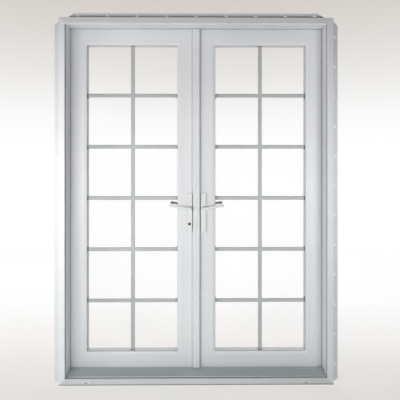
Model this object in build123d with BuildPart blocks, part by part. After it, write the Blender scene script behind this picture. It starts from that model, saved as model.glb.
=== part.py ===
from build123d import *

import os

os.makedirs("parts", exist_ok=True)

# Inswing double door: a welded frame with a nailing fin, two glazed leaves with bars between the
# panes, lever handles, a key lock in the left leaf and shoot bolts in the right leaf.
# Outside is -Y, inside is +Y and up is +Z. The origin is the middle of the sill's underside, in
# the plane of the fin's back face. All lengths are millimetres.

# Overall frame
frame_width = 1511.3
frame_height = 2019.3
frame_depth = 166.7

# Frame profile
frame_face = 35.0
face_slope = 6.0
frame_splay = 4.0
nose_radius = 3.0
edge_radius = 1.5
groove_inset = 10.0
groove_width = 12.0
groove_depth = 4.0
rabbet_wall = 14.5
kerf_width = 3.0
kerf_depth = 8.0

# Nailing fin
fin_setback = 34.9
fin_width = 32.0
fin_thickness = 2.0
fin_trim = 30.0
fin_slope = 48.0
jamb_fin_trim = 3.0
jamb_fin_slope = 32.0
fin_foot_slope = 14.0
fin_slot_length = 18.0
fin_slot_width = 5.0
fin_slot_pitch = 165.0
fin_slot_share = 0.5

# Gaps round and between the leaves
seal_gap = 6.0
hinge_gap = 5.0
meeting_gap = 10.0
head_gap = 4.0
sill_gap = 10.0
soft_clearance = 0.3

# Leaves and their glass
leaf_thickness = 57.15
member_width = 104.0
bead_width = 16.0
bead_depth = 15.9
bead_reveal = 1.0
bead_flat = 4.0
bead_slope = 6.0
bead_joint = 0.2
stop_radius = 5.0
glass_thickness = 25.4
pane_thickness = 4.0
glass_cover = 12.0
spacer_inset = 3.0
spacer_height = 8.0
bar_width = 22.0
bar_thickness = 8.0
bar_taper = 35.0
bar_columns = 1
bar_rows = 5
block_length = 80.0
block_place_share = 0.25

# Hinges
hinge_height = 101.6
hinge_from_top = 178.0
hinge_from_bottom = 254.0
hinge_plate = 2.3
hinge_plate_depth = 38.0
barrel_radius = 6.5
barrel_clearance = 0.6
knuckle_count = 5
knuckle_gap = 0.5
pin_radius = 3.15
pin_fit = 0.05
pin_head_radius = 5.0
pin_head_height = 3.0
pin_tip = 2.0

# Threshold, weep covers and sweeps
threshold_front = 2.5
threshold_back = 11.0
threshold_ridge = 4.0
threshold_ridge_width = 9.0
threshold_end_gap = 0.5
weep_place = 605.0
weep_length = 46.0
weep_height = 16.0
weep_thickness = 4.0
weep_corner = 4.0
weep_slot_length = 26.0
weep_slot_height = 6.0
weep_depth = 20.0
weep_edge = 1.0
sweep_inset = 8.0
sweep_base = 2.5
sweep_fin = 2.0
sweep_end_gap = 2.0

# Meeting strip on the right leaf
strip_width = 38.0
strip_proud = 18.0
strip_gap = 3.0
strip_radius = 3.0
strip_groove = 2.0
strip_end_gap = 1.0
stem_thickness = 5.5
strip_seal_width = 8.0
strip_seal_inset = 2.0

# Handles
backset = 34.6
spindle_height = 960.0
spindle_side = 8.0
spindle_fit = 0.1
spindle_reach = 25.0
spindle_hole_radius = 7.0
neck_radius = 9.0
neck_fit = 0.1
neck_round = 4.0
lever_standoff = 52.0
lever_length = 116.0
lever_rise = 17.0
lever_height = 17.0
lever_thickness = 11.0
lever_skin = 1.0
lever_tip_radius = 3.0
lever_station_shares = (0.0, 0.25, 0.5, 0.75, 1.0)
lever_height_shares = (1.0, 0.92, 0.84, 0.86, 0.94)
escutcheon_width = 29.0
escutcheon_height = 225.0
escutcheon_drop = 28.5
escutcheon_thickness = 11.0
escutcheon_corner = 6.0
escutcheon_edge = 2.5

# Lock in the left leaf
cylinder_drop = 92.0
cylinder_radius = 7.5
cylinder_fit = 0.2
cylinder_proud = 2.5
keyway_width = 2.0
keyway_height = 9.0
keyway_depth = 20.0
case_depth = 60.0
case_thickness = 16.0
case_margin = 40.0
case_fit = 0.3
faceplate_width = 20.0
faceplate_thickness = 3.0
faceplate_margin = 25.0
latch_rise = 18.0
latch_height = 18.0
latch_thickness = 11.0
latch_length = 45.0
latch_throw = 12.0
bolt_rise = 36.0
bolt_height = 20.0
bolt_thickness = 11.0
bolt_length = 42.0
bolt_throw = 14.0
bolt_fit = 0.4
turn_shaft_radius = 4.0
turn_shaft_fit = 0.05
turn_shaft_length = 25.0
turn_base_radius = 8.0
turn_base_height = 4.0
turn_height = 28.0
turn_width = 11.0
turn_depth = 16.0
turn_edge = 2.0

# Shoot bolts, gear case, keepers and strike of the right leaf
rod_radius = 4.5
rod_fit = 0.35
rod_backset = 22.0
rod_travel = 16.0
rod_recess = 6.0
rod_start = 2.0
rod_chamfer = 1.5
gear_inset = 7.0
gear_depth = 50.0
gear_thickness = 18.0
gear_half_height = 38.0
keeper_length = 60.0
keeper_width = 22.0
keeper_thickness = 2.0
keeper_clearance = 1.0
strike_width = 20.0
strike_thickness = 2.0
strike_margin = 25.0
strike_clearance = 1.5

# How far every cut runs past the face it opens
overrun = 5.0

# Planes and places worked out from the sizes above
half_width = frame_width / 2
y_front = -fin_setback
y_back = frame_depth - fin_setback
y_leaf = y_back - leaf_thickness
y_mid = (y_leaf + y_back) / 2
y_stop = y_leaf - seal_gap
y_glass_out = y_leaf + bead_depth
y_glass_in = y_glass_out + glass_thickness
groove_end = y_front + groove_inset + groove_width
stop_face = frame_face - frame_splay
kerf_place = (rabbet_wall + hinge_gap + stop_face) / 2
rabbet_x = half_width - rabbet_wall
rabbet_top = frame_height - rabbet_wall
leaf_inner = meeting_gap / 2
leaf_outer = rabbet_x - hinge_gap
leaf_bottom = rabbet_wall + sill_gap
leaf_top = rabbet_top - head_gap
sight_inner = leaf_inner + member_width
sight_outer = leaf_outer - member_width
sight_bottom = leaf_bottom + member_width
sight_top = leaf_top - member_width
sight_x = (sight_inner + sight_outer) / 2
sight_z = (sight_bottom + sight_top) / 2
sight_width = sight_outer - sight_inner
sight_height = sight_top - sight_bottom
axis_x = leaf_outer + hinge_gap / 2
axis_y = y_back + barrel_clearance + barrel_radius
spindle_x = leaf_inner + backset
cylinder_height = spindle_height - cylinder_drop
escutcheon_z = spindle_height - escutcheon_drop
latch_z = spindle_height + latch_rise
bolt_z = cylinder_height + bolt_rise
case_top = spindle_height + case_margin
case_bottom = cylinder_height - case_margin
rod_x = leaf_inner + rod_backset
stem_x = leaf_inner - stem_thickness


def write(part, name):
    part.label = name
    export_step(part, f"parts/{name}.step")


def upright(y):
    """Plane parallel to the leaves at depth y, drawn in X and Z, facing outside."""
    return Plane.XZ.offset(-y)


def ring(left, right, bottom, top):
    """Section planes and lengths of the four sides of an upright rectangle. On each plane
    X runs from the rectangle's edge towards its middle, and Y runs inside."""
    width = right - left
    height = top - bottom
    return {
        "bottom": (Plane((right, 0, bottom), x_dir=(0, 0, 1), z_dir=(-1, 0, 0)), width),
        "top": (Plane((left, 0, top), x_dir=(0, 0, -1), z_dir=(1, 0, 0)), width),
        "left": (Plane((left, 0, bottom), x_dir=(1, 0, 0), z_dir=(0, 0, 1)), height),
        "right": (Plane((right, 0, top), x_dir=(-1, 0, 0), z_dir=(0, 0, -1)), height),
    }


def mitred_bar(plane, length, corners, joint):
    """Bar of one section, cut at 45 degrees at both ends, short of the mitre by half the joint.
    Each corner is (X, Y, radius)."""
    points = [(x, y) for x, y, radius in corners]
    radii = [radius for x, y, radius in corners]
    with BuildPart() as bar:
        with BuildSketch(plane):
            with BuildLine():
                FilletPolyline(points, radius=radii, close=True)
            make_face()
        extrude(amount=length)
        far_end = plane.origin + plane.z_dir * length
        split(bisect_by=Plane(plane.origin, z_dir=plane.z_dir - plane.x_dir).offset(joint / 2))
        split(bisect_by=Plane(far_end, z_dir=-plane.z_dir - plane.x_dir).offset(joint / 2))
    return bar.part


def mitred_bars(rectangle, corners, joint=0):
    return {side: mitred_bar(plane, length, corners, joint) for side, (plane, length) in rectangle.items()}


def span(low, high, mode=Mode.ADD):
    """Block between two opposite corners."""
    sides = [abs(b - a) for a, b in zip(low, high)]
    with Locations(tuple((a + b) / 2 for a, b in zip(low, high))):
        Box(*sides, mode=mode)


def cross_hole(x, z, radius):
    """Round hole through the whole depth of a leaf."""
    with BuildSketch(upright(y_leaf - overrun)) as outline:
        with Locations((x, z)):
            Circle(radius)
    extrude(outline.sketch, amount=-leaf_thickness - 2 * overrun, mode=Mode.SUBTRACT)


def cylinder_hole():
    depth = leaf_thickness + 2 * (escutcheon_thickness + overrun)
    with BuildSketch(upright(y_leaf - escutcheon_thickness - overrun)) as outline:
        with Locations((-spindle_x, cylinder_height)):
            Circle(cylinder_radius + cylinder_fit)
    extrude(outline.sketch, amount=-depth, mode=Mode.SUBTRACT)


# Frame: four mitred bars of one section
frame_corners = [
    (0, y_front + face_slope, edge_radius),
    (frame_face, y_front, nose_radius),
    (frame_face, y_front + groove_inset, 0),
    (frame_face - groove_depth, y_front + groove_inset, 0),
    (frame_face - groove_depth, groove_end, 0),
    (frame_face, groove_end, edge_radius),
    (stop_face, y_stop, edge_radius),
    (kerf_place + kerf_width / 2, y_stop, 0),
    (kerf_place + kerf_width / 2, y_stop - kerf_depth, 0),
    (kerf_place - kerf_width / 2, y_stop - kerf_depth, 0),
    (kerf_place - kerf_width / 2, y_stop, 0),
    (rabbet_wall, y_stop, 0),
    (rabbet_wall, y_back, edge_radius),
    (0, y_back, edge_radius),
]
frame_ring = ring(-half_width, half_width, 0, frame_height)
frame_bars = mitred_bars(frame_ring, frame_corners)


head_end = (fin_trim, fin_slope)
jamb_end = (jamb_fin_trim, jamb_fin_slope)
foot_end = (fin_thickness, fin_foot_slope)


def fin(side, start, end):
    """Nailing fin with slots along one side of the frame. Each end is (trim, slope): how far it
    stops short of the frame's corner and how far it then runs to its full width."""
    plane, length = frame_ring[side]
    free = -fin_width
    slot_count = int((length - 2 * (fin_trim + fin_slope)) // fin_slot_pitch) + 1
    with BuildSketch(Plane(plane.origin, x_dir=plane.z_dir, z_dir=(0, 1, 0))) as strip:
        with BuildLine():
            Polyline(
                (start[0], fin_thickness),
                (start[0], 0),
                (start[0] + start[1], free),
                (length - end[0] - end[1], free),
                (length - end[0], 0),
                (length - end[0], fin_thickness),
                close=True,
            )
        make_face()
        with Locations((length / 2, free * fin_slot_share)):
            with GridLocations(fin_slot_pitch, fin_width, slot_count, 1):
                SlotOverall(fin_slot_length, fin_slot_width, mode=Mode.SUBTRACT)
    extrude(strip.sketch, amount=-fin_thickness)


def keeper_block(z_face, z_deep, grow, mode):
    """Keeper's plate, or the recess for it, from the rabbet's face into the frame."""
    half_length = keeper_length / 2 + grow
    half_keeper = keeper_width / 2 + grow
    span((rod_x - half_length, y_mid - half_keeper, z_face),
         (rod_x + half_length, y_mid + half_keeper, z_deep), mode)


def keeper_hole(z_face, depth):
    with BuildSketch(Plane.XY.offset(z_face)) as outline:
        with Locations((rod_x, y_mid)):
            Circle(rod_radius + keeper_clearance)
    extrude(outline.sketch, amount=depth, mode=Mode.SUBTRACT)


bolt_room = rod_travel - rod_recess - head_gap + keeper_thickness
with BuildPart() as frame_head:
    add(frame_bars["top"])
    fin("top", head_end, head_end)
    keeper_block(rabbet_top, rabbet_top + keeper_thickness, 0, Mode.SUBTRACT)
    keeper_hole(rabbet_top, bolt_room)
write(frame_head.part, "frame_head")

# The sill's front face leans, so the weep covers stand on this plane
weep_middle = frame_face / 2
weep_y = y_front + face_slope / 2


def weep_plane(x):
    return Plane((x, weep_y, weep_middle), x_dir=(1, 0, 0), z_dir=(0, -frame_face, -face_slope))


with BuildPart() as frame_sill:
    add(frame_bars["bottom"])
    keeper_block(rabbet_wall, rabbet_wall - keeper_thickness, 0, Mode.SUBTRACT)
    keeper_hole(rabbet_wall, sill_gap - rod_travel - keeper_thickness)
    for weep_x in (-weep_place, weep_place):
        with BuildSketch(weep_plane(weep_x)):
            SlotOverall(weep_slot_length, weep_slot_height)
        extrude(amount=-weep_depth, mode=Mode.SUBTRACT)
write(frame_sill.part, "frame_sill")

with BuildPart() as weep_covers:
    for weep_x in (-weep_place, weep_place):
        with BuildSketch(weep_plane(weep_x)):
            RectangleRounded(weep_length, weep_height, weep_corner)
            SlotOverall(weep_slot_length, weep_slot_height, mode=Mode.SUBTRACT)
        extrude(amount=weep_thickness)
        outer_face = weep_covers.faces().sort_by(weep_plane(weep_x).offset(weep_depth).location.z_axis)[-1]
        chamfer(outer_face.outer_wire().edges(), length=weep_edge)
write(weep_covers.part, "weep_covers")

for side, fin_ends in (("left", (foot_end, jamb_end)), ("right", (jamb_end, foot_end))):
    with BuildPart() as frame_jamb:
        add(frame_bars[side])
        fin(side, *fin_ends)
    write(frame_jamb.part, f"frame_jamb_{side}")

for name, face_z, deep_z in (
    ("head_keeper", rabbet_top, rabbet_top + keeper_thickness),
    ("sill_keeper", rabbet_wall, rabbet_wall - keeper_thickness),
):
    with BuildPart() as keeper:
        keeper_block(face_z, deep_z, 0, Mode.ADD)
        keeper_hole(face_z, deep_z - face_z)
    write(keeper.part, name)

# Bulb seal pressed into the kerf all round the stop
bulb_radius = (seal_gap - soft_clearance) / 2
stem_half = kerf_width / 2 - soft_clearance
seal_corners = [
    (kerf_place - stem_half, y_stop - kerf_depth + soft_clearance, 0),
    (kerf_place + stem_half, y_stop - kerf_depth + soft_clearance, 0),
    (kerf_place + stem_half, y_stop, 0),
    (kerf_place + bulb_radius, y_stop, 0),
    (kerf_place + bulb_radius, y_stop + 2 * bulb_radius, bulb_radius),
    (kerf_place - bulb_radius, y_stop + 2 * bulb_radius, bulb_radius),
    (kerf_place - bulb_radius, y_stop, 0),
    (kerf_place - stem_half, y_stop, 0),
]
seal_bars = mitred_bars(frame_ring, seal_corners)
with BuildPart() as frame_seal:
    add(list(seal_bars.values()))
write(frame_seal.part, "frame_seal")

# Threshold laid on the sill between the jambs: a ridge along its front, then a rising tread
threshold_half = half_width - frame_face - threshold_end_gap
with BuildPart() as threshold:
    with BuildSketch(Plane.YZ.offset(-threshold_half)):
        with BuildLine():
            FilletPolyline(
                (groove_end, frame_face),
                (groove_end, frame_face + threshold_ridge),
                (groove_end + threshold_ridge_width, frame_face + threshold_ridge),
                (groove_end + threshold_ridge_width, frame_face + threshold_front),
                (y_stop, frame_face + threshold_back),
                (y_stop, stop_face),
                radius=[0, edge_radius, edge_radius / 2, edge_radius / 2, edge_radius, 0],
                close=True,
            )
        make_face()
    extrude(amount=2 * threshold_half)
write(threshold.part, "threshold")

# Hinges: five knuckles, three on the frame's plate and two on the leaf's
hinge_heights = (
    leaf_bottom + hinge_from_bottom,
    (leaf_bottom + hinge_from_bottom + leaf_top - hinge_from_top) / 2,
    leaf_top - hinge_from_top,
)
knuckle_pitch = (hinge_height + knuckle_gap) / knuckle_count
knuckle_height = knuckle_pitch - knuckle_gap


def hinge_leaf(plate_x, knuckles):
    """One hinge half per hinge height: a flat plate in the gap and its share of the knuckles."""
    for middle in hinge_heights:
        low = middle - hinge_height / 2
        span((plate_x, y_back - hinge_plate_depth, low),
             (plate_x + hinge_plate, y_back, low + hinge_height))
        for knuckle in knuckles:
            knuckle_low = low + knuckle * knuckle_pitch
            span((plate_x, y_back, knuckle_low),
                 (plate_x + hinge_plate, axis_y, knuckle_low + knuckle_height))
            with BuildSketch(Plane.XY.offset(knuckle_low)) as barrel:
                with Locations((axis_x, axis_y)):
                    Circle(barrel_radius)
            extrude(barrel.sketch, amount=knuckle_height)
        with BuildSketch(Plane.XY.offset(low - overrun)) as bore:
            with Locations((axis_x, axis_y)):
                Circle(pin_radius + pin_fit)
        extrude(bore.sketch, amount=hinge_height + 2 * overrun, mode=Mode.SUBTRACT)


with BuildPart() as right_hinge_frame_plates:
    hinge_leaf(rabbet_x - hinge_plate, range(0, knuckle_count, 2))
write(right_hinge_frame_plates.part, "right_hinge_frame_plates")

with BuildPart() as right_hinge_leaf_plates:
    hinge_leaf(leaf_outer, range(1, knuckle_count, 2))
write(right_hinge_leaf_plates.part, "right_hinge_leaf_plates")

with BuildPart() as hinge_pins:
    for middle in hinge_heights:
        low = middle - hinge_height / 2
        for pin_x in (-axis_x, axis_x):
            with BuildSketch(Plane.XY.offset(low - pin_tip)):
                with Locations((pin_x, axis_y)):
                    Circle(pin_radius)
            extrude(amount=hinge_height + pin_tip)
            with BuildSketch(Plane.XY.offset(low + hinge_height)):
                with Locations((pin_x, axis_y)):
                    Circle(pin_head_radius)
            extrude(amount=pin_head_height)
    pin_tops = hinge_pins.faces().filter_by(Axis.Z).filter_by(lambda face: face.area > pin_head_radius ** 2)
    chamfer(pin_tops.filter_by(lambda face: face.normal_at().Z > 0).edges(), length=pin_head_height / 3)
write(hinge_pins.part, "hinge_pins")

# Leaves: four mitred bars of one section, with the glass bedded from outside
leaf_corners = [
    (0, y_leaf, edge_radius),
    (member_width - bead_width, y_leaf, edge_radius / 2),
    (member_width - bead_width, y_glass_in, 0),
    (member_width, y_glass_in, 0),
    (member_width, y_back, stop_radius),
    (0, y_back, edge_radius),
]
leaf_bars = mitred_bars(ring(leaf_inner, leaf_outer, leaf_bottom, leaf_top), leaf_corners)

bead_corners = [
    (0, y_leaf + bead_reveal, 0),
    (bead_flat, y_leaf + bead_reveal, edge_radius),
    (bead_width, y_leaf + bead_slope, edge_radius),
    (bead_width, y_glass_out, 0),
    (0, y_glass_out, 0),
]
bead_ring = ring(
    sight_inner - bead_width, sight_outer + bead_width, sight_bottom - bead_width, sight_top + bead_width
)
bead_bars = mitred_bars(bead_ring, bead_corners, bead_joint)


def rod_bore(low, high):
    with BuildSketch(Plane.XY.offset(low)) as bore:
        with Locations((rod_x, y_mid)):
            Circle(rod_radius + rod_fit)
    extrude(bore.sketch, amount=high - low, mode=Mode.SUBTRACT)


with BuildPart() as right_hinge_stile:
    add(leaf_bars["right"])
write(right_hinge_stile.part, "right_hinge_stile")

with BuildPart() as right_top_rail:
    add(leaf_bars["top"])
    rod_bore(spindle_height, leaf_top + overrun)
write(right_top_rail.part, "right_top_rail")

with BuildPart() as right_bottom_rail:
    add(leaf_bars["bottom"])
    rod_bore(leaf_bottom - overrun, spindle_height)
write(right_bottom_rail.part, "right_bottom_rail")

gear_x = leaf_inner + gear_inset
gear_bottom = spindle_height - gear_half_height
gear_top = spindle_height + gear_half_height
bolt_pocket = bolt_throw - meeting_gap + strike_clearance
with BuildPart() as right_meeting_stile:
    add(leaf_bars["left"])
    rod_bore(leaf_bottom - overrun, gear_bottom + overrun)
    rod_bore(gear_top - overrun, leaf_top + overrun)
    span((leaf_inner - overrun, y_mid - gear_thickness / 2 - case_fit, gear_bottom - case_fit),
         (gear_x + gear_depth + case_fit, y_mid + gear_thickness / 2 + case_fit, gear_top + case_fit),
         Mode.SUBTRACT)
    span((leaf_inner - overrun, y_mid - bolt_thickness / 2 - strike_clearance,
          bolt_z - bolt_height / 2 - strike_clearance),
         (leaf_inner + bolt_pocket, y_mid + bolt_thickness / 2 + strike_clearance,
          bolt_z + bolt_height / 2 + strike_clearance),
         Mode.SUBTRACT)
    cross_hole(spindle_x, spindle_height, spindle_hole_radius)
write(right_meeting_stile.part, "right_meeting_stile")

with BuildPart() as left_lock_stile:
    mirror(leaf_bars["left"], about=Plane.YZ)
    span((-leaf_inner - faceplate_thickness - case_depth - case_fit,
          y_mid - case_thickness / 2 - case_fit, case_bottom - case_fit),
         (-leaf_inner + overrun, y_mid + case_thickness / 2 + case_fit, case_top + case_fit),
         Mode.SUBTRACT)
    span((-leaf_inner - faceplate_thickness, y_mid - faceplate_width / 2, case_bottom - faceplate_margin),
         (-leaf_inner + overrun, y_mid + faceplate_width / 2, case_top + faceplate_margin),
         Mode.SUBTRACT)
    cross_hole(-spindle_x, spindle_height, spindle_hole_radius)
    cylinder_hole()
write(left_lock_stile.part, "left_lock_stile")

with BuildPart() as right_glazing_beads:
    add(list(bead_bars.values()))
write(right_glazing_beads.part, "right_glazing_beads")

pane_half = (sight_width / 2 + glass_cover, sight_height / 2 + glass_cover)
for name, pane_y in (("glass_outer", y_glass_out), ("glass_inner", y_glass_in - pane_thickness)):
    with BuildPart() as right_pane:
        span((sight_x - pane_half[0], pane_y, sight_z - pane_half[1]),
             (sight_x + pane_half[0], pane_y + pane_thickness, sight_z + pane_half[1]))
    write(right_pane.part, f"right_{name}")
    with BuildPart() as left_pane:
        mirror(right_pane.part, about=Plane.YZ)
    write(left_pane.part, f"left_{name}")

# Spacer between the panes and the bars that it carries
spacer_width = 2 * (pane_half[0] - spacer_inset)
spacer_rise = 2 * (pane_half[1] - spacer_inset)
clear_width = spacer_width - 2 * spacer_height
clear_height = spacer_rise - 2 * spacer_height
with BuildPart() as right_spacer:
    with BuildSketch(upright(y_glass_out + pane_thickness)):
        with Locations((sight_x, sight_z)):
            Rectangle(spacer_width, spacer_rise)
            Rectangle(clear_width, clear_height, mode=Mode.SUBTRACT)
    extrude(amount=2 * pane_thickness - glass_thickness)
write(right_spacer.part, "right_spacer")

column_pitch = (sight_width + bar_width) / (bar_columns + 1)
row_pitch = (sight_height + bar_width) / (bar_rows + 1)
with BuildPart() as right_grille:
    with BuildSketch(upright(y_glass_out + glass_thickness / 2)):
        with Locations((sight_x, sight_z)):
            with GridLocations(column_pitch, 0, bar_columns, 1):
                Rectangle(bar_width, clear_height)
            with GridLocations(0, row_pitch, 1, bar_rows):
                Rectangle(clear_width, bar_width)
    extrude(amount=bar_thickness / 2, both=True, taper=bar_taper)
write(right_grille.part, "right_grille")

with BuildPart() as right_setting_blocks:
    for share in (block_place_share, 1 - block_place_share):
        block_x = sight_inner + share * sight_width
        span((block_x - block_length / 2, y_glass_out, sight_bottom - bead_width),
             (block_x + block_length / 2, y_glass_in, sight_bottom - glass_cover))
write(right_setting_blocks.part, "right_setting_blocks")

# Sweep under each leaf: a flat base with three fins that brush the sill
sweep_bottom = rabbet_wall + soft_clearance
sweep_front = y_leaf + sweep_inset
sweep_width = leaf_thickness - 2 * sweep_inset
with BuildPart() as plain_sweep:
    with BuildSketch(Plane.YZ.offset(leaf_inner + sweep_end_gap)):
        with Locations((y_mid, leaf_bottom - sweep_base / 2)):
            Rectangle(sweep_width, sweep_base)
        with Locations((y_mid, (leaf_bottom + sweep_bottom) / 2)):
            with GridLocations((sweep_width - sweep_fin) / 2, 0, 3, 1):
                Rectangle(sweep_fin, leaf_bottom - sweep_bottom)
    extrude(amount=leaf_outer - leaf_inner - 2 * sweep_end_gap)

with BuildPart() as right_sweep:
    add(plain_sweep.part)
    rod_bore(sweep_bottom - overrun, leaf_bottom + overrun)
write(right_sweep.part, "right_sweep")

# Meeting strip: a flange that laps both leaves and a stem on the right leaf's edge
strip_half = strip_width / 2
strip_front = y_leaf - strip_proud
strip_low = frame_face + threshold_back + strip_end_gap
strip_high = frame_height - frame_face - strip_end_gap
strike_low = bolt_z - strike_margin
strike_high = latch_z + strike_margin


def strike_opening(middle_z, height, thickness):
    """Opening for the latch or the bolt through the strike and the stem behind it."""
    span((stem_x - overrun, y_mid - thickness / 2 - strike_clearance,
          middle_z - height / 2 - strike_clearance),
         (leaf_inner + overrun, y_mid + thickness / 2 + strike_clearance,
          middle_z + height / 2 + strike_clearance),
         Mode.SUBTRACT)


with BuildPart() as meeting_strip:
    with BuildSketch(Plane.XY.offset(strip_low)):
        with BuildLine():
            FilletPolyline(
                (-strip_half, y_leaf - strip_gap),
                (-strip_half, strip_front),
                (-strip_groove, strip_front),
                (0, strip_front + strip_groove),
                (strip_groove, strip_front),
                (strip_half, strip_front),
                (strip_half, y_leaf),
                (stem_x, y_leaf),
                (stem_x, y_leaf - strip_gap),
                radius=[0, strip_radius, 0, 0, 0, strip_radius, 0, 0, 0],
                close=True,
            )
        make_face()
    extrude(amount=strip_high - strip_low)
    span((stem_x, y_leaf, leaf_bottom), (leaf_inner, y_back, leaf_top))
    span((stem_x - overrun, y_mid - strike_width / 2, strike_low),
         (stem_x + strike_thickness, y_mid + strike_width / 2, strike_high), Mode.SUBTRACT)
    strike_opening(latch_z, latch_height, latch_thickness)
    strike_opening(bolt_z, bolt_height, bolt_thickness)
write(meeting_strip.part, "meeting_strip")

with BuildPart() as strike_plate:
    span((stem_x, y_mid - strike_width / 2, strike_low),
         (stem_x + strike_thickness, y_mid + strike_width / 2, strike_high))
    strike_opening(latch_z, latch_height, latch_thickness)
    strike_opening(bolt_z, bolt_height, bolt_thickness)
write(strike_plate.part, "strike_plate")

with BuildPart() as strip_seal:
    span((-strip_half + strip_seal_inset, y_leaf - strip_gap, strip_low),
         (-strip_half + strip_seal_inset + strip_seal_width, y_leaf - soft_clearance, strip_high))
write(strip_seal.part, "strip_seal")

# Handles: plate, lever and spindle. The inside ones mirror the outside ones
leaf_middle = Plane((0, y_mid, 0), z_dir=(0, 1, 0))


def escutcheon_body(x):
    """Rounded plate on the leaf's outside face with the neck's hole through it."""
    with BuildSketch(upright(y_leaf)) as outline:
        with Locations((x, escutcheon_z)):
            RectangleRounded(escutcheon_width, escutcheon_height, escutcheon_corner)
    extrude(outline.sketch, amount=escutcheon_thickness)


def neck_hole(x):
    with BuildSketch(upright(y_leaf + overrun)) as bore:
        with Locations((x, spindle_height)):
            Circle(neck_radius + neck_fit)
    extrude(bore.sketch, amount=escutcheon_thickness + 2 * overrun, mode=Mode.SUBTRACT)


with BuildPart() as right_escutcheon_outside:
    escutcheon_body(spindle_x)
    fillet(right_escutcheon_outside.faces().sort_by(Axis.Y)[0].edges(), radius=escutcheon_edge)
    neck_hole(spindle_x)
write(right_escutcheon_outside.part, "right_escutcheon_outside")

with BuildPart() as left_escutcheon_outside:
    escutcheon_body(-spindle_x)
    fillet(left_escutcheon_outside.faces().sort_by(Axis.Y)[0].edges(), radius=escutcheon_edge)
    neck_hole(-spindle_x)
    cylinder_hole()
write(left_escutcheon_outside.part, "left_escutcheon_outside")

lever_y = y_leaf - lever_standoff + lever_skin + lever_thickness / 2
socket_side = spindle_side + 2 * spindle_fit
with BuildPart() as right_lever_outside:
    with BuildSketch(upright(y_leaf)):
        with Locations((spindle_x, spindle_height)):
            Circle(neck_radius)
    extrude(amount=lever_standoff)
    fillet(right_lever_outside.faces().sort_by(Axis.Y)[0].edges(), radius=neck_round)
    for share, height_share in zip(lever_station_shares, lever_height_shares):
        climb = lever_rise * share ** 2 * (3 - 2 * share)
        station = (spindle_x + share * lever_length, lever_y, spindle_height + climb)
        with BuildSketch(Plane(station, x_dir=(0, 1, 0), z_dir=(1, 0, 0))):
            Ellipse(lever_thickness / 2, height_share * lever_height / 2)
    loft()
    fillet(right_lever_outside.faces().sort_by(Axis.X)[-1].edges(), radius=lever_tip_radius)
    with BuildSketch(upright(y_leaf)):
        with Locations((spindle_x, spindle_height)):
            Rectangle(socket_side, socket_side)
    extrude(amount=spindle_reach + spindle_fit, mode=Mode.SUBTRACT)
write(right_lever_outside.part, "right_lever_outside")

with BuildPart() as right_spindle:
    with BuildSketch(upright(y_leaf - spindle_reach)):
        with Locations((spindle_x, spindle_height)):
            Rectangle(spindle_side, spindle_side)
    extrude(amount=-leaf_thickness - 2 * spindle_reach)
write(right_spindle.part, "right_spindle")

with BuildPart() as right_lever_inside:
    mirror(right_lever_outside.part, about=leaf_middle)
write(right_lever_inside.part, "right_lever_inside")

for side, outside_part in (("right", right_escutcheon_outside.part), ("left", left_escutcheon_outside.part)):
    with BuildPart() as escutcheon_inside:
        mirror(outside_part, about=leaf_middle)
    write(escutcheon_inside.part, f"{side}_escutcheon_inside")

# Left leaf's pieces that mirror the right leaf's
for name, right_part in (
    ("hinge_frame_plates", right_hinge_frame_plates.part),
    ("hinge_leaf_plates", right_hinge_leaf_plates.part),
    ("hinge_stile", right_hinge_stile.part),
    ("top_rail", leaf_bars["top"]),
    ("bottom_rail", leaf_bars["bottom"]),
    ("glazing_beads", right_glazing_beads.part),
    ("spacer", right_spacer.part),
    ("grille", right_grille.part),
    ("setting_blocks", right_setting_blocks.part),
    ("sweep", plain_sweep.part),
    ("lever_outside", right_lever_outside.part),
    ("lever_inside", right_lever_inside.part),
    ("spindle", right_spindle.part),
):
    with BuildPart() as left_part:
        mirror(right_part, about=Plane.YZ)
    write(left_part.part, f"left_{name}")

# Lock of the left leaf
latch_back = -leaf_inner + latch_throw - latch_length
bolt_back = -leaf_inner - bolt_length
case_front = -leaf_inner - faceplate_thickness


def lock_opening(middle_z, height, thickness, back_x):
    """Guide for the latch or the bolt, open at the leaf's edge."""
    span((back_x, y_mid - thickness / 2 - bolt_fit, middle_z - height / 2 - bolt_fit),
         (-leaf_inner + overrun, y_mid + thickness / 2 + bolt_fit, middle_z + height / 2 + bolt_fit),
         Mode.SUBTRACT)


with BuildPart() as left_lock_case:
    span((case_front - case_depth, y_mid - case_thickness / 2, case_bottom),
         (case_front, y_mid + case_thickness / 2, case_top))
    lock_opening(latch_z, latch_height, latch_thickness, latch_back - latch_throw - bolt_fit)
    lock_opening(bolt_z, bolt_height, bolt_thickness, bolt_back - bolt_fit)
    cross_hole(-spindle_x, spindle_height, spindle_hole_radius)
    cylinder_hole()
write(left_lock_case.part, "left_lock_case")

with BuildPart() as left_lock_faceplate:
    span((case_front, y_mid - faceplate_width / 2, case_bottom - faceplate_margin),
         (-leaf_inner, y_mid + faceplate_width / 2, case_top + faceplate_margin))
    lock_opening(latch_z, latch_height, latch_thickness, case_front - overrun)
    lock_opening(bolt_z, bolt_height, bolt_thickness, case_front - overrun)
write(left_lock_faceplate.part, "left_lock_faceplate")

# The latch's tip slopes on its outside, so that it slips in as the leaf closes
with BuildPart() as left_latch:
    with BuildSketch(Plane.XY.offset(latch_z - latch_height / 2)):
        with BuildLine():
            Polyline(
                (latch_back, y_mid - latch_thickness / 2),
                (-leaf_inner, y_mid - latch_thickness / 2),
                (-leaf_inner + latch_throw, y_mid + latch_thickness / 4),
                (-leaf_inner + latch_throw, y_mid + latch_thickness / 2),
                (latch_back, y_mid + latch_thickness / 2),
                close=True,
            )
        make_face()
    extrude(amount=latch_height)
write(left_latch.part, "left_latch")

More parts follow.
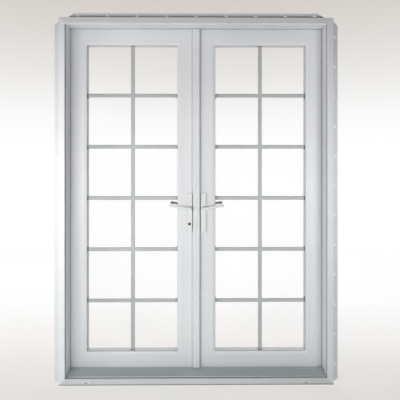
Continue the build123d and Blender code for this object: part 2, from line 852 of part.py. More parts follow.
with BuildPart() as left_deadbolt:
    span((bolt_back, y_mid - bolt_thickness / 2, bolt_z - bolt_height / 2),
         (-leaf_inner, y_mid + bolt_thickness / 2, bolt_z + bolt_height / 2))
    chamfer(left_deadbolt.faces().sort_by(Axis.X)[-1].edges(), length=edge_radius)
write(left_deadbolt.part, "left_deadbolt")

cylinder_out = y_leaf - escutcheon_thickness - cylinder_proud
cylinder_in = y_back + escutcheon_thickness
with BuildPart() as left_key_cylinder:
    with BuildSketch(upright(cylinder_out)):
        with Locations((-spindle_x, cylinder_height)):
            Circle(cylinder_radius)
    extrude(amount=cylinder_out - cylinder_in)
    with BuildSketch(upright(cylinder_out)):
        with Locations((-spindle_x, cylinder_height)):
            Rectangle(keyway_width, keyway_height)
    extrude(amount=-keyway_depth, mode=Mode.SUBTRACT)
    with BuildSketch(upright(cylinder_in)):
        with Locations((-spindle_x, cylinder_height)):
            Circle(turn_shaft_radius + turn_shaft_fit)
    extrude(amount=turn_shaft_length, mode=Mode.SUBTRACT)
write(left_key_cylinder.part, "left_key_cylinder")

turn_start = cylinder_in + bolt_fit
with BuildPart() as left_thumbturn:
    with BuildSketch(upright(turn_start)):
        with Locations((-spindle_x, cylinder_height)):
            Circle(turn_base_radius)
    extrude(amount=-turn_base_height)
    with BuildSketch(upright(turn_start + turn_base_height)):
        with Locations((-spindle_x, cylinder_height)):
            Ellipse(turn_width / 2, turn_height / 2)
    extrude(amount=-turn_depth)
    fillet(left_thumbturn.faces().sort_by(Axis.Y)[-1].edges(), radius=turn_edge)
    with BuildSketch(upright(turn_start)):
        with Locations((-spindle_x, cylinder_height)):
            Circle(turn_shaft_radius)
    extrude(amount=turn_shaft_length)
write(left_thumbturn.part, "left_thumbturn")

# Gear case and shoot bolts of the right leaf, drawn back at rest
top_rod_low = spindle_height + rod_start
bottom_rod_high = spindle_height - rod_start
with BuildPart() as right_gear_case:
    span((gear_x, y_mid - gear_thickness / 2, gear_bottom),
         (gear_x + gear_depth, y_mid + gear_thickness / 2, gear_top))
    rod_bore(top_rod_low - case_fit, gear_top + overrun)
    rod_bore(gear_bottom - overrun, bottom_rod_high + case_fit)
    cross_hole(spindle_x, spindle_height, spindle_hole_radius)
write(right_gear_case.part, "right_gear_case")

for name, rod_low, rod_high in (
    ("right_top_shoot_bolt", top_rod_low, leaf_top - rod_recess),
    ("right_bottom_shoot_bolt", leaf_bottom, bottom_rod_high),
):
    with BuildPart() as shoot_bolt:
        with BuildSketch(Plane.XY.offset(rod_low)):
            with Locations((rod_x, y_mid)):
                Circle(rod_radius)
        extrude(amount=rod_high - rod_low)
        chamfer(shoot_bolt.edges().filter_by(GeomType.CIRCLE), length=rod_chamfer)
    write(shoot_bolt.part, name)
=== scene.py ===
import math

import bmesh
import bpy
from mathutils import Matrix, Vector


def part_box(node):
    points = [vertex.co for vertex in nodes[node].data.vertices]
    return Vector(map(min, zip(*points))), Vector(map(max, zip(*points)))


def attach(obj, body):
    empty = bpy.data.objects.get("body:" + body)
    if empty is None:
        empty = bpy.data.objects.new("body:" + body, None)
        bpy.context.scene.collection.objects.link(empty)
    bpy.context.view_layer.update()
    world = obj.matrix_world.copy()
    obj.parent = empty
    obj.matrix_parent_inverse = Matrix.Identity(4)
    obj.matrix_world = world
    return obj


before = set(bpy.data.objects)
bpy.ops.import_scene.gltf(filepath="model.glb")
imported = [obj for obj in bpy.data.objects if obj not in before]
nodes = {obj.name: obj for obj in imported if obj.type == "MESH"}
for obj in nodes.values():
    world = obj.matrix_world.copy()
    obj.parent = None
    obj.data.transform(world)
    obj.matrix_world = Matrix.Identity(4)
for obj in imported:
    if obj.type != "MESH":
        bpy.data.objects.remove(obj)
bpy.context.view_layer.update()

mm = 0.001
scene = bpy.context.scene
sides = {"left": -1, "right": 1}


def linear(code):
    # an sRGB hex code as the linear numbers that Blender works in
    parts = [int(code[i:i + 2], 16) / 255 for i in (1, 3, 5)]
    return [p / 12.92 if p <= 0.04045 else ((p + 0.055) / 1.055) ** 2.4 for p in parts] + [1.0]


def addNode(tree, kind, settings, links=()):
    node = tree.nodes.new("ShaderNode" + kind)
    for name, value in settings.items():
        if isinstance(name, int) or name in node.inputs:
            node.inputs[name].default_value = value
        else:
            setattr(node, name, value)
    for socket, source in links:
        tree.links.new(source, node.inputs[socket])
    return node


def setRamp(ramp, stops):
    elements = ramp.color_ramp.elements
    while len(elements) < len(stops):
        elements.new(1.0)
    for element, (place, code) in zip(elements, stops):
        element.position = place
        element.color = linear(code)


def newTree(name):
    material = bpy.data.materials.new(name)
    material.use_nodes = True
    material.node_tree.nodes.clear()
    return material, material.node_tree


# spans of noise values that the colours and the roughness are spread over
narrowSpan = (0.35, 0.65)
wideSpan = (0.3, 0.7)


def makeFinish(name, look):
    # a solid finish: fine grain and slow clouds move its colour, sheen and surface a little
    material, tree = newTree(name)
    place = addNode(tree, "TexCoord", {})
    cells = addNode(tree, "Mapping", {"Scale": [1 / (size * mm) for size in look["grain"]]},
                    [("Vector", place.outputs["Object"])])
    grain = addNode(tree, "TexNoise", {"Scale": 1.0, "Detail": 3.0, "Roughness": 0.55},
                    [("Vector", cells.outputs["Vector"])])
    cloud = addNode(tree, "TexNoise", {"Scale": 1 / (look["cloud"] * mm), "Detail": 2.0},
                    [("Vector", place.outputs["Object"])])
    fine = addNode(tree, "Math", {"operation": "MULTIPLY", 1: look["mix"]}, [(0, grain.outputs["Fac"])])
    both = addNode(tree, "Math", {"operation": "MULTIPLY_ADD", 1: 1 - look["mix"]},
                   [(0, cloud.outputs["Fac"]), (2, fine.outputs["Value"])])
    shade = addNode(tree, "ValToRGB", {}, [("Fac", both.outputs["Value"])])
    setRamp(shade, [(narrowSpan[0], look["dark"]), (narrowSpan[1], look["light"])])
    rough = addNode(tree, "MapRange", {"From Min": wideSpan[0], "From Max": wideSpan[1],
                                       "To Min": look["rough"][0], "To Max": look["rough"][1]},
                    [("Value", both.outputs["Value"])])
    bump = addNode(tree, "Bump", {"Strength": 1.0, "Distance": look["height"] * mm},
                   [("Height", grain.outputs["Fac"])])
    shader = addNode(tree, "BsdfPrincipled",
                     {"Metallic": look.get("metal", 0.0), "IOR": 1.5,
                      "Specular IOR Level": look.get("specular", 0.5),
                      "Coat Weight": look.get("coat", 0.0), "Coat Roughness": 0.15},
                     [("Base Color", shade.outputs["Color"]), ("Roughness", rough.outputs["Result"]),
                      ("Normal", bump.outputs["Normal"])])
    addNode(tree, "OutputMaterial", {}, [("Surface", shader.outputs["BSDF"])])
    return material


# satin white of extruded vinyl: faint die lines run along the bar, drawn 6 mm apart as real ones are too fine
vinylLook = {"dark": "#E3E4E7", "light": "#EBECEE", "cloud": 420, "mix": 0.6, "rough": (0.34, 0.46),
             "height": 0.02, "grain": (6, 6, 900)}
uprightVinyl = makeFinish("extruded vinyl upright", vinylLook)
levelVinyl = makeFinish("extruded vinyl level", {**vinylLook, "grain": (900, 6, 6)})
# the sill's vinyl is a shade greyer than the rest of the frame: painted shade, for the dimmer light on the
# sill
shadedSillVinyl = makeFinish("sill vinyl with painted shade", {**vinylLook, "dark": "#D2D5D7", "light": "#DADDDF",
                                              "grain": (900, 6, 6)})
# smooth clean white of baked enamel on zinc castings, with a light orange peel
enamel = makeFinish("baked white enamel", {"dark": "#E4E5E5", "light": "#EBECEB", "cloud": 60, "mix": 0.7,
                                           "rough": (0.22, 0.34), "height": 0.03, "grain": (3, 3, 3),
                                           "coat": 0.3})
# satin mid grey of the handles inside, darker than the white outside ones: partly their finish, partly
# painted shade for where they stand behind the glass
pewter = makeFinish("satin pewter", {"dark": "#82847F", "light": "#90928D", "cloud": 40, "mix": 0.6,
                                     "rough": (0.34, 0.46), "height": 0.02, "grain": (4, 4, 4), "metal": 0.6})
# cool grey of anodised aluminium, brushed along the sill
anodised = makeFinish("brushed anodised aluminium", {"dark": "#A9B0B3", "light": "#BDC3C5", "cloud": 260,
                                                     "mix": 0.75, "rough": (0.36, 0.5), "height": 0.03,
                                                     "grain": (500, 4, 4), "metal": 0.5})
# pale dull sheen of mill aluminium on the spacer between the panes
spacerMetal = makeFinish("mill aluminium spacer", {"dark": "#EDEFF0", "light": "#F7F8F8", "cloud": 90,
                                                   "mix": 0.7, "rough": (0.25, 0.38), "height": 0.02,
                                                   "grain": (20, 3, 20), "metal": 0.3})
# greenish grey on the roll-formed bars between the panes: painted tint of the glass and painted shade of the
# dimmer light inside the unit
barTintAndShade = makeFinish("bar grey with painted glass tint and shade", {"dark": "#C8CDCA", "light": "#D0D5D2", "cloud": 150, "mix": 0.5,
                                              "rough": (0.4, 0.5), "height": 0.015, "grain": (12, 12, 12)})
# bright blue-grey zinc plating on the steel pieces
zincSteel = makeFinish("zinc plated steel", {"dark": "#9EA3A7", "light": "#B9BDC0", "cloud": 35, "mix": 0.5,
                                             "rough": (0.28, 0.42), "height": 0.02, "grain": (5, 5, 5),
                                             "metal": 0.9})
# nearly black brown of darkened brass at the key
darkBrass = makeFinish("darkened brass", {"dark": "#221F1C", "light": "#302B26", "cloud": 15, "mix": 0.5,
                                          "rough": (0.4, 0.55), "height": 0.02, "grain": (2, 2, 2),
                                          "specular": 0.3})
# matt mid grey rubber of the seals; on the groove strip its grey is painted shade in the groove
rubber = makeFinish("grey rubber", {"dark": "#757A7C", "light": "#83888A", "cloud": 120, "mix": 0.6,
                                    "rough": (0.7, 0.85), "height": 0.04, "grain": (4, 4, 4),
                                    "specular": 0.3})
# paler grey rubber of the wedge at the glass and of the frame seal's lip, a soft line against the white
paleRubber = makeFinish("pale grey rubber", {"dark": "#A0A5A7", "light": "#AEB3B5", "cloud": 120, "mix": 0.6,
                                             "rough": (0.65, 0.8), "height": 0.03, "grain": (4, 4, 4),
                                             "specular": 0.3})
# darker grey rubber of the drain flaps and of the bead beside the strip: painted shadow beside the strip and
# painted shade in the drain slots
shadeRubber = makeFinish("dark grey painted shade", {"dark": "#5C6264", "light": "#6A7072", "cloud": 120, "mix": 0.6,
                                             "rough": (0.65, 0.8), "height": 0.03, "grain": (4, 4, 4),
                                             "specular": 0.3})
# warm brown-grey of the strip along the sill's foot: a painted contact shadow
footShadow = makeFinish("painted foot shadow", {"dark": "#8F8880", "light": "#A0998F", "cloud": 80, "mix": 0.6,
                                       "rough": (0.6, 0.75), "height": 0.05, "grain": (5, 5, 5),
                                       "specular": 0.3})
# soft mid grey of the moulded bar clips, darker than the bars: partly painted shade at the bars' ends
clipPlastic = makeFinish("moulded grey plastic", {"dark": "#868C89", "light": "#949A97", "cloud": 30,
                                                  "mix": 0.6, "rough": (0.5, 0.62), "height": 0.02,
                                                  "grain": (3, 3, 3)})


def makeGlass(name, look):
    # clear float glass: faint waves bend what is behind it, and lamps shine straight through
    material, tree = newTree(name)
    place = addNode(tree, "TexCoord", {})
    wave = addNode(tree, "TexNoise", {"Scale": 1 / (look["wave"] * mm), "Detail": 1.0},
                   [("Vector", place.outputs["Object"])])
    bump = addNode(tree, "Bump", {"Strength": 1.0, "Distance": look["height"] * mm},
                   [("Height", wave.outputs["Fac"])])
    tint = addNode(tree, "ValToRGB", {}, [("Fac", wave.outputs["Fac"])])
    setRamp(tint, [(wideSpan[0], look["dark"]), (wideSpan[1], look["light"])])
    glass = addNode(tree, "BsdfPrincipled",
                    {"Transmission Weight": 1.0, "IOR": look["ior"], "Roughness": 0.0},
                    [("Base Color", tint.outputs["Color"]), ("Normal", bump.outputs["Normal"])])
    clear = addNode(tree, "BsdfTransparent", {}, [("Color", tint.outputs["Color"])])
    ray = addNode(tree, "LightPath", {})
    mix = addNode(tree, "MixShader", {}, [(0, ray.outputs["Is Shadow Ray"]), (1, glass.outputs["BSDF"]),
                                          (2, clear.outputs["BSDF"])])
    addNode(tree, "OutputMaterial", {}, [("Surface", mix.outputs["Shader"])])
    return material


clearGlass = makeGlass("clear float glass", {"dark": "#FEFEFE", "light": "#FFFFFF", "wave": 400,
                                             "height": 0.01, "ior": 1.3})

# a node with one of these words in its name lies level, so its die lines run along X
levelNodes = ("head", "sill", "rail", "threshold", "sweep")
slotFinish = {"white_vinyl": uprightVinyl, "white_enamel": enamel, "satin_pewter": pewter,
              "sill_aluminium": anodised, "clear_glass": clearGlass, "spacer_metal": spacerMetal,
              "bar_paint": barTintAndShade, "plain_steel": zincSteel, "dark_brass": darkBrass, "grey_seal": rubber}
for name, node in nodes.items():
    for cadSlot in node.material_slots:
        finish = slotFinish[cadSlot.material.name.split(".")[0]]
        if finish is uprightVinyl and any(word in name for word in levelNodes):
            finish = shadedSillVinyl if name == "frame_sill" else levelVinyl
        cadSlot.material = finish
print("finishes on", len(nodes), "CAD nodes")


def newPiece(name, bm, finish, body, smoothAngle=40):
    # turns the bmesh into a piece that rides on its body, shaded smooth up to the angle in degrees
    bmesh.ops.recalc_face_normals(bm, faces=bm.faces)
    mesh = bpy.data.meshes.new(name)
    bm.to_mesh(mesh)
    bm.free()
    mesh.materials.append(finish)
    for polygon in mesh.polygons:
        polygon.use_smooth = True
    mesh.set_sharp_from_angle(angle=math.radians(smoothAngle))
    piece = bpy.data.objects.new(name, mesh)
    scene.collection.objects.link(piece)
    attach(piece, body)


def turnTo(direction):
    # turns a shape made along +Z so that it stands along the direction
    return Vector((0, 0, 1)).rotation_difference(Vector(direction)).to_matrix().to_4x4()


def mmBox(node):
    low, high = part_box(node)
    return [c / mm for c in low], [c / mm for c in high]


def middleOf(low, high):
    return [(a + b) / 2 for a, b in zip(low, high)]


def roundEdges(bm, edges, roundness, segments):
    bmesh.ops.bevel(bm, geom=edges, offset=roundness * mm, offset_type="OFFSET", affect="EDGES",
                    segments=segments, profile=0.5, material=-1)


def raiseFaces(bm, faces, lift, roundness):
    # draws the faces out by the lift and rounds the edges of the raised side
    sharpAngle = 0.5    # radians: flatter edges stay as they are
    raised = bmesh.ops.extrude_face_region(bm, geom=faces)["geom"]
    top = {g for g in raised if isinstance(g, bmesh.types.BMVert)}
    bmesh.ops.translate(bm, verts=list(top), vec=[c * mm for c in lift])
    crest = [e for e in bm.edges if all(v in top for v in e.verts) and e.calc_face_angle(0) > sharpAngle]
    roundEdges(bm, crest, roundness, segments=3)


def addPlane(bm, low, high, y, columns=1):
    # a flat sheet in the door's plane, from one (x, z) corner to the other
    made = bmesh.ops.create_grid(bm, x_segments=columns, y_segments=1, size=0.5)["verts"]
    x, z = middleOf(low, high)
    size = Matrix.Diagonal(((high[0] - low[0]) * mm, (high[1] - low[1]) * mm, 1, 1))
    place = Matrix.Translation((x * mm, y * mm, z * mm)) @ Matrix.Rotation(math.pi / 2, 4, "X")
    bmesh.ops.transform(bm, matrix=place @ size, verts=made)
    return list(dict.fromkeys(f for v in made for f in v.link_faces))


def addRing(bm, low, high, y, width, height, roundness):
    # a rectangular ring in the door's plane, raised towards the outside, with its raised edges rounded
    pane = addPlane(bm, low, high, y)
    rim = bmesh.ops.inset_region(bm, faces=pane, thickness=width * mm, use_boundary=True)["faces"]
    bmesh.ops.delete(bm, geom=pane, context="FACES_ONLY")
    raiseFaces(bm, rim, (0, -height, 0), roundness)


def addBlock(bm, centre, size, roundness):
    # a bar or pad with all its edges rounded
    made = bmesh.ops.create_cube(bm, size=1.0)["verts"]
    place = Matrix.Translation([c * mm for c in centre]) @ Matrix.Diagonal([s * mm for s in size] + [1])
    bmesh.ops.transform(bm, matrix=place, verts=made)
    edges = dict.fromkeys(e for v in made for e in v.link_edges)
    roundEdges(bm, list(edges), roundness, segments=2)


# rubber wedge round each outer pane, which draws the grey line at the edge of the glass
gasketLook = {"width": 1.5, "height": 4.0, "round": 1.0, "spacerInset": 1.0}
for side in sides:
    low, high = mmBox(side + "_grille")
    glassFace = mmBox(side + "_glass_outer")[0][1]
    edge = gasketLook["spacerInset"]
    bm = bmesh.new()
    addRing(bm, (low[0] + edge, low[2] + edge), (high[0] - edge, high[2] - edge), glassFace,
            gasketLook["width"], gasketLook["height"], gasketLook["round"])
    newPiece(side + "_glazing_gasket", bm, paleRubber, side + "_leaf")
print("glazing gaskets")

# thin lip of the frame's seal, seen as a fine grey line between the stop and the leaf
lipLook = {"half": 724.5, "bottom": 40.0, "top": 1988.1, "width": 1.6, "front": 69.2, "back": 73.8,
           "round": 1.0}
bm = bmesh.new()
addRing(bm, (-lipLook["half"], lipLook["bottom"]), (lipLook["half"], lipLook["top"]), lipLook["back"],
        lipLook["width"], lipLook["back"] - lipLook["front"], lipLook["round"])
newPiece("frame_seal_lip", bm, paleRubber, "frame")
print("seal lip")

# grey strip laid in the groove near the frame's front edge: painted shade in the groove, which draws the
# outer of the two fine lines in the reveal
grooveLook = {"half": 724.5, "face": 721.2, "floor": 31.1, "level": 34.4, "top": 1984.0, "front": -24.7,
              "back": -13.1, "round": 0.8}
bm = bmesh.new()
grooveDepth = grooveLook["back"] - grooveLook["front"]
grooveMiddle = (grooveLook["front"] + grooveLook["back"]) / 2
sideWidth = grooveLook["half"] - grooveLook["face"]
sideHeight = grooveLook["top"] - grooveLook["level"]
for sign in sides.values():
    addBlock(bm, (sign * (grooveLook["half"] - sideWidth / 2), grooveMiddle,
                  grooveLook["level"] + sideHeight / 2),
             (sideWidth, grooveDepth, sideHeight), grooveLook["round"])
addBlock(bm, (0, grooveMiddle, (grooveLook["floor"] + grooveLook["level"]) / 2),
         (2 * grooveLook["half"], grooveDepth, grooveLook["level"] - grooveLook["floor"]),
         grooveLook["round"])
newPiece("frame_groove_painted_shade", bm, rubber, "frame")
print("groove strip")

# rubber flaps that close the drain slots, set into the leaning front of the covers; their dark grey is
# painted shade, for the dark inside the slots
flapLook = {"place": 605.0, "long": 24.0, "tall": 4.6, "thick": 2.0, "recess": 3.0, "round": 0.9,
            "lean": 6.0 / 35.0}
bm = bmesh.new()
low, high = mmBox("weep_covers")
flapY = low[1] + flapLook["recess"] + flapLook["lean"] * (high[2] - low[2]) / 2
for sign in sides.values():
    addBlock(bm, (sign * flapLook["place"], flapY, (low[2] + high[2]) / 2),
             (flapLook["long"], flapLook["thick"], flapLook["tall"]), flapLook["round"])
newPiece("weep_flaps", bm, shadeRubber, "frame")
print("drain flaps")

# pale strip on the sill plate's front ridge: a painted highlight, the light line above the grey strip
ridgeHighlightLook = {"half": 716.0, "y": -13.5, "z": 37.0, "thick": 1.0, "tall": 4.4, "round": 0.4}
bm = bmesh.new()
addBlock(bm, (0, ridgeHighlightLook["y"], ridgeHighlightLook["z"]),
         (2 * ridgeHighlightLook["half"], ridgeHighlightLook["thick"], ridgeHighlightLook["tall"]), ridgeHighlightLook["round"])
newPiece("threshold_ridge_highlight", bm, levelVinyl, "frame")
print("sill plate nosing")

# dark grey bead between the meeting strip and the right leaf: a painted shadow, the dark line beside the
# strip
stripShadowLook = {"stripEdge": 19.0, "wide": 3.0, "thick": 2.2, "round": 0.8, "endGap": 2.0}
low, high = mmBox("meeting_strip")
leafFace = mmBox("right_meeting_stile")[0][1]
bm = bmesh.new()
addBlock(bm, (stripShadowLook["stripEdge"] + stripShadowLook["wide"] / 2, leafFace - stripShadowLook["thick"] / 2,
              (low[2] + high[2]) / 2),
         (stripShadowLook["wide"], stripShadowLook["thick"], high[2] - low[2] - 2 * stripShadowLook["endGap"]), stripShadowLook["round"])
newPiece("meeting_strip_painted_shadow", bm, shadeRubber, "right_leaf")
print("strip bead")

# dark strip along the sill's foot: a painted contact shadow, which draws the dark line where the door meets
# the floor
footLook = {"half": 754.0, "y": -29.6, "low": 0.4, "high": 5.0, "thick": 1.4, "roundShare": 0.6,
            "columns": 60}
bm = bmesh.new()
foot = addPlane(bm, (-footLook["half"], footLook["low"]), (footLook["half"], footLook["high"]), footLook["y"],
                footLook["columns"])
raiseFaces(bm, foot, (0, -footLook["thick"], 0), footLook["thick"] * footLook["roundShare"])
newPiece("frame_foot_painted_shadow", bm, footShadow, "frame")
print("foot sealant")

# moulded clips that hold the bars' ends at the spacer, whose grey partly paints the shade at the bars' ends
clipLook = {"across": 24.0, "along": 5.0, "thick": 10.5, "round": 1.2, "rows": 5}
for side in sides:
    low, high = mmBox(side + "_grille")
    middle = middleOf(low, high)
    pitch = (high[2] - low[2] - 2 * gasketLook["spacerInset"]) / (clipLook["rows"] + 1)
    along, across, thick = clipLook["along"], clipLook["across"], clipLook["thick"]
    bm = bmesh.new()
    for row in range(clipLook["rows"]):
        z = middle[2] + (row - (clipLook["rows"] - 1) / 2) * pitch
        for x in (low[0] + along / 2, high[0] - along / 2):
            addBlock(bm, (x, middle[1], z), (along, thick, across), clipLook["round"])
    for z in (low[2] + along / 2, high[2] - along / 2):
        addBlock(bm, (middle[0], middle[1], z), (across, thick, along), clipLook["round"])
    newPiece(side + "_bar_clips", bm, clipPlastic, side + "_leaf")
print("bar clips")

# flat headed screws with a six-lobed recess
screwLook = {"segments": 24, "socketShare": 0.5, "lobeShare": 0.72, "depth": 1.2, "depthShare": 0.9,
             "smoothAngle": 30}


def addScrew(bm, spot, direction, radius, height):
    start = set(bm.verts)
    disc = bmesh.ops.create_circle(bm, cap_ends=True, radius=radius * mm,
                                   segments=screwLook["segments"])["verts"]
    head = disc[0].link_faces[0]
    raised = bmesh.ops.extrude_face_region(bm, geom=[head])["geom"]
    top = [g for g in raised if isinstance(g, bmesh.types.BMFace)][0]
    bmesh.ops.translate(bm, verts=top.verts[:], vec=(0, 0, height * mm))
    bmesh.ops.inset_region(bm, faces=[top], thickness=radius * (1 - screwLook["socketShare"]) * mm)
    centre = top.calc_center_median()
    for index, vert in enumerate(top.verts):
        if index % 4 in (2, 3):    # every second pair of the 24 points is drawn in, which leaves six lobes
            vert.co = centre + (vert.co - centre) * screwLook["lobeShare"]
    sunk = bmesh.ops.extrude_face_region(bm, geom=[top])["geom"]
    bmesh.ops.delete(bm, geom=[top], context="FACES_ONLY")
    floorVerts = [g for g in sunk if isinstance(g, bmesh.types.BMVert)]
    depth = min(screwLook["depth"], height * screwLook["depthShare"])
    bmesh.ops.translate(bm, verts=floorVerts, vec=(0, 0, -depth * mm))
    place = Matrix.Translation([c * mm for c in spot]) @ turnTo(direction)
    bmesh.ops.transform(bm, matrix=place, verts=[v for v in bm.verts if v not in start])


def makeScrews(name, look, spots, direction, finish, body):
    bm = bmesh.new()
    for spot in spots:
        addScrew(bm, spot, direction, look["radius"], look["height"])
    newPiece(name, bm, finish, body, screwLook["smoothAngle"])


# the hinge plates' screw faces look at each other across the joint,
# and leafFace and frameFace are how far they stand from the leaf's edge
hingeScrews = {"radius": 4.2, "height": 0.12, "halfHinge": 50.8, "rises": (-38, -13, 13, 38),
               "depths": (102, 116), "leafFace": 2.3, "frameFace": 2.7}
for side, sign in sides.items():
    for kind, body, face in (("frame", "frame", -sign), ("leaf", side + "_leaf", sign)):
        low, high = mmBox(side + "_hinge_" + kind + "_plates")
        half = hingeScrews["halfHinge"]
        leafEdge = mmBox(side + "_hinge_stile")[1 if sign > 0 else 0][0]
        gapFace = leafEdge + sign * hingeScrews[kind + "Face"]
        spots = [(gapFace, hingeScrews["depths"][index % 2], middle + rise)
                 for middle in (low[2] + half, (low[2] + high[2]) / 2, high[2] - half)
                 for index, rise in enumerate(hingeScrews["rises"])]
        makeScrews(side + "_hinge_" + kind + "_screws", hingeScrews, spots, (face, 0, 0), zincSteel, body)

plateScrews = {"radius": 3.4, "height": 0.8, "reach": 100}
for side in sides:
    low, high = mmBox(side + "_escutcheon_inside")
    middle = middleOf(low, high)
    spots = [(middle[0], high[1], middle[2] + rise * plateScrews["reach"]) for rise in (-1, 1)]
    makeScrews(side + "_plate_screws", plateScrews, spots, (0, 1, 0), pewter, side + "_leaf")

lockScrews = {"radius": 3.6, "height": 0.3, "inset": 9}
for name, node, body, face in (("left_faceplate_screws", "left_lock_faceplate", "left_leaf", 1),
                               ("right_strike_screws", "strike_plate", "right_leaf", -1)):
    low, high = mmBox(node)
    front = high[0] if face > 0 else low[0]
    spots = [(front, (low[1] + high[1]) / 2, z)
             for z in (low[2] + lockScrews["inset"], high[2] - lockScrews["inset"])]
    makeScrews(name, lockScrews, spots, (face, 0, 0), zincSteel, body)

keeperScrews = {"radius": 3.6, "height": 0.25, "inset": 7}
for node, face in (("head_keeper", -1), ("sill_keeper", 1)):
    low, high = mmBox(node)
    spots = [(x, (low[1] + high[1]) / 2, high[2] if face > 0 else low[2])
             for x in (low[0] + keeperScrews["inset"], high[0] - keeperScrews["inset"])]
    makeScrews(node + "_screws", keeperScrews, spots, (0, 0, face), zincSteel, "frame")
print("screws")

# rings that close the plates round the lever necks and the key
collarLook = {"inner": 9.2, "outer": 12.8, "height": 3.0, "round": 1.0, "segments": 48, "smoothAngle": 35}
keyRingLook = {"inner": 7.8, "outer": 11.5, "height": 2.0, "round": 0.9, "segments": 48, "smoothAngle": 35}


def makeRing(name, look, spot, direction, finish, body):
    bm = bmesh.new()
    disc = bmesh.ops.create_circle(bm, cap_ends=True, radius=look["outer"] * mm,
                                   segments=look["segments"])["verts"]
    face = disc[0].link_faces[0]
    rim = bmesh.ops.inset_region(bm, faces=[face], thickness=(look["outer"] - look["inner"]) * mm,
                                 use_boundary=True)["faces"]
    bmesh.ops.delete(bm, geom=[face], context="FACES_ONLY")
    raiseFaces(bm, rim, (0, 0, look["height"]), look["round"])
    place = Matrix.Translation([c * mm for c in spot]) @ turnTo(direction)
    bmesh.ops.transform(bm, matrix=place, verts=bm.verts)
    newPiece(name, bm, finish, body, look["smoothAngle"])


spindleHeight = middleOf(*mmBox("left_spindle"))[2]
for side in sides:
    low, high = mmBox(side + "_escutcheon_outside")
    plateMiddle = (low[0] + high[0]) / 2
    makeRing(side + "_collar_outside", collarLook, (plateMiddle, low[1], spindleHeight), (0, -1, 0), enamel,
             side + "_leaf")
    insideFace = mmBox(side + "_escutcheon_inside")[1][1]
    makeRing(side + "_collar_inside", collarLook, (plateMiddle, insideFace, spindleHeight), (0, 1, 0), pewter,
             side + "_leaf")
keyMiddle = middleOf(*mmBox("left_key_cylinder"))
outsideFace = mmBox("left_escutcheon_outside")[0][1]
makeRing("left_key_ring", keyRingLook, (keyMiddle[0], outsideFace, keyMiddle[2]), (0, -1, 0), enamel,
         "left_leaf")
print("collars and key ring")

# studio floor and background in metres: warm pale grey in front and above, white behind the door
groundLook = {"reach": 60.0, "segments": 96, "drop": 0.0005, "shadowShare": 0.18, "glow": 1.08,
              "near": -0.157, "far": 1.2, "fade": (1.2, 4.0), "paper": "#EDECEA"}
skyLook = {"fill": 0.03}
floorShades = [(0.0, "#DDDBD8"), (0.15, "#E4E1DE"), (0.47, "#F5F3F1"), (1.0, "#FFFFFF")]
skyShades = [(0.03, "#FFFFFF"), (0.1, "#FAFAFA"), (0.2, "#EBE9E6"), (0.3, "#DDD9D5"), (0.38, "#D4CEC9")]


def seenRays(tree):
    # 1 for what the camera sees directly, in a mirror or through glass, 0 for light that falls on things
    ray = addNode(tree, "LightPath", {})
    first = addNode(tree, "Math", {"operation": "MAXIMUM"}, [(0, ray.outputs["Is Camera Ray"]),
                                                             (1, ray.outputs["Is Glossy Ray"])])
    second = addNode(tree, "Math", {"operation": "MAXIMUM"}, [(0, first.outputs["Value"]),
                                                              (1, ray.outputs["Is Transmission Ray"])])
    plain = addNode(tree, "Math", {"operation": "LESS_THAN", 1: 0.5}, [(0, ray.outputs["Diffuse Depth"])])
    return addNode(tree, "Math", {"operation": "MULTIPLY"}, [(0, second.outputs["Value"]),
                                                             (1, plain.outputs["Value"])]).outputs["Value"]


def makeFloor():
    bm = bmesh.new()
    bmesh.ops.create_circle(bm, cap_ends=True, radius=groundLook["reach"], segments=groundLook["segments"])
    mesh = bpy.data.meshes.new("studio_floor")
    bm.to_mesh(mesh)
    bm.free()
    floor = bpy.data.objects.new("studio_floor", mesh)
    floor.location.z = -groundLook["drop"]
    scene.collection.objects.link(floor)
    material, tree = newTree("studio floor paper")
    place = addNode(tree, "TexCoord", {})
    axes = addNode(tree, "SeparateXYZ", {}, [("Vector", place.outputs["Object"])])
    depth = addNode(tree, "MapRange", {"From Min": groundLook["near"], "From Max": groundLook["far"]},
                    [("Value", axes.outputs["Y"])])
    shade = addNode(tree, "ValToRGB", {}, [("Fac", depth.outputs["Result"])])
    setRamp(shade, floorShades)
    away = addNode(tree, "VectorMath", {"operation": "LENGTH"}, [(0, place.outputs["Object"])])
    near, far = groundLook["fade"]
    glowShare = addNode(tree, "MapRange", {"From Min": near, "From Max": far, "To Max": 1.0,
                                           "To Min": 1 - groundLook["shadowShare"]},
                        [("Value", away.outputs["Value"])])
    glowLevel = addNode(tree, "MapRange", {"From Min": near, "From Max": far, "To Max": 1.0,
                                           "To Min": groundLook["glow"]}, [("Value", away.outputs["Value"])])
    whiter = addNode(tree, "MapRange", {"From Min": near, "From Max": far},
                     [("Value", away.outputs["Value"])])
    tone = addNode(tree, "MixRGB", {"Color2": linear("#FFFFFF")}, [("Fac", whiter.outputs["Result"]),
                                                                   ("Color1", shade.outputs["Color"])])
    glow = addNode(tree, "Emission", {}, [("Color", tone.outputs["Color"]),
                                          ("Strength", glowLevel.outputs["Result"])])
    paper = addNode(tree, "BsdfDiffuse", {"Color": linear(groundLook["paper"])})
    share = addNode(tree, "Math", {"operation": "MULTIPLY"}, [(0, seenRays(tree)),
                                                              (1, glowShare.outputs["Result"])])
    mix = addNode(tree, "MixShader", {}, [(0, share.outputs["Value"]), (1, paper.outputs["BSDF"]),
                                          (2, glow.outputs["Emission"])])
    addNode(tree, "OutputMaterial", {}, [("Surface", mix.outputs["Shader"])])
    mesh.materials.append(material)


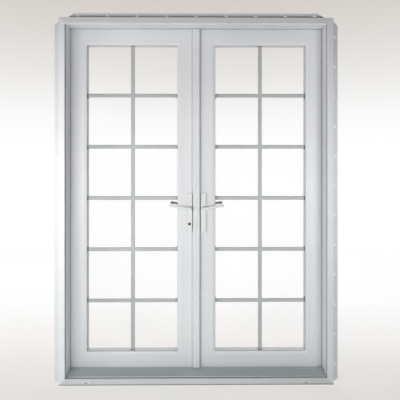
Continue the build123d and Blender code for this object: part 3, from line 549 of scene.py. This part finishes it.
def makeSky():
    world = bpy.data.worlds.new("studio")
    scene.world = world
    world.use_nodes = True
    tree = world.node_tree
    tree.nodes.clear()
    place = addNode(tree, "TexCoord", {})
    axes = addNode(tree, "SeparateXYZ", {}, [("Vector", place.outputs["Generated"])])
    shade = addNode(tree, "ValToRGB", {}, [("Fac", axes.outputs["Z"])])
    setRamp(shade, skyShades)
    seen = addNode(tree, "Background", {"Strength": 1.0}, [("Color", shade.outputs["Color"])])
    fill = addNode(tree, "Background", {"Color": linear("#FFFFFF"), "Strength": skyLook["fill"]})
    mix = addNode(tree, "MixShader", {}, [(0, seenRays(tree)), (1, fill.outputs["Background"]),
                                          (2, seen.outputs["Background"])])
    addNode(tree, "OutputWorld", {}, [("Surface", mix.outputs["Shader"])])


# places, aims and sizes in metres; the low strip's light is a little green, which cools the sill
lampLooks = {
    "front_left_softbox": {"place": (-0.9, -1.3, 1.09), "aim": (-0.6, 0, 1.09), "size": (0.6, 0.4),
                           "watts": 9.2, "colour": "#FFFFFF"},
    "front_right_softbox": {"place": (0.95, -1.3, 1.09), "aim": (0.6, 0, 1.09), "size": (0.6, 0.4),
                            "watts": 10.2, "colour": "#FFFFFF"},
    "left_strip_light": {"place": (-1.2, -0.95, 1.03), "aim": (0, 0, 1.03), "size": (0.2, 0.8),
                         "watts": 3.8, "colour": "#FFFFFF"},
    "far_left_softbox": {"place": (-2.6, -1.0, 1.1), "aim": (0, 0, 1.0), "size": (0.5, 1.2),
                         "watts": 12, "colour": "#FFFFFF"},
    "low_strip_light": {"place": (-0.25, -0.8, 0.14), "aim": (-0.2, 0.07, 0.14), "size": (1.6, 0.1),
                        "watts": 1.4, "colour": "#E9FFFA"},
    "top_softbox": {"place": (0.0, -1.2, 2.4), "aim": (0, 0, 0.9), "size": (2.4, 0.5),
                    "watts": 3.2, "colour": "#FFFFFF"},
    "inside_softbox": {"place": (0.7, 3.2, 2.0), "aim": (0, 0.1, 1.0), "size": (2.4, 1.6),
                       "watts": 76, "colour": "#FFFFFF"},
    "inside_left_softbox": {"place": (-2.6, 2.2, 1.6), "aim": (0, 0.1, 1.0), "size": (1.0, 1.6),
                            "watts": 20, "colour": "#FFFFFF"},
}


def addLamp(name, look):
    light = bpy.data.lights.new(name, "AREA")
    light.shape = "RECTANGLE"
    light.size, light.size_y = look["size"]
    light.energy = look["watts"]
    light.color = linear(look["colour"])[:3]
    lamp = bpy.data.objects.new(name, light)
    lamp.location = look["place"]
    lamp.rotation_euler = (Vector(look["aim"]) - Vector(look["place"])).to_track_quat("-Z", "Y").to_euler()
    # the lamps light the door and stay out of the picture and of the glass
    lamp.visible_camera = False
    lamp.visible_glossy = False
    lamp.visible_transmission = False
    scene.collection.objects.link(lamp)


makeFloor()
makeSky()
for name, look in lampLooks.items():
    addLamp(name, look)
print("stage and lamps")

# straight on from outside: lens and sensor in mm, place in metres, turn in degrees, shift in picture widths
cameraLook = {"lens": 34.2, "sensor": 36.0, "place": (0.0, -2.116, 1.2609), "turn": -0.43,
              "shift": (0.0018, -0.1115)}
cameraData = bpy.data.cameras.new("camera")
cameraData.lens = cameraLook["lens"]
cameraData.sensor_width = cameraLook["sensor"]
cameraData.shift_x, cameraData.shift_y = cameraLook["shift"]
camera = bpy.data.objects.new("camera", cameraData)
camera.location = cameraLook["place"]
camera.rotation_euler = (math.radians(90), 0, math.radians(cameraLook["turn"]))
scene.collection.objects.link(camera)
scene.camera = camera
scene.view_settings.view_transform = "Standard"
print("camera")
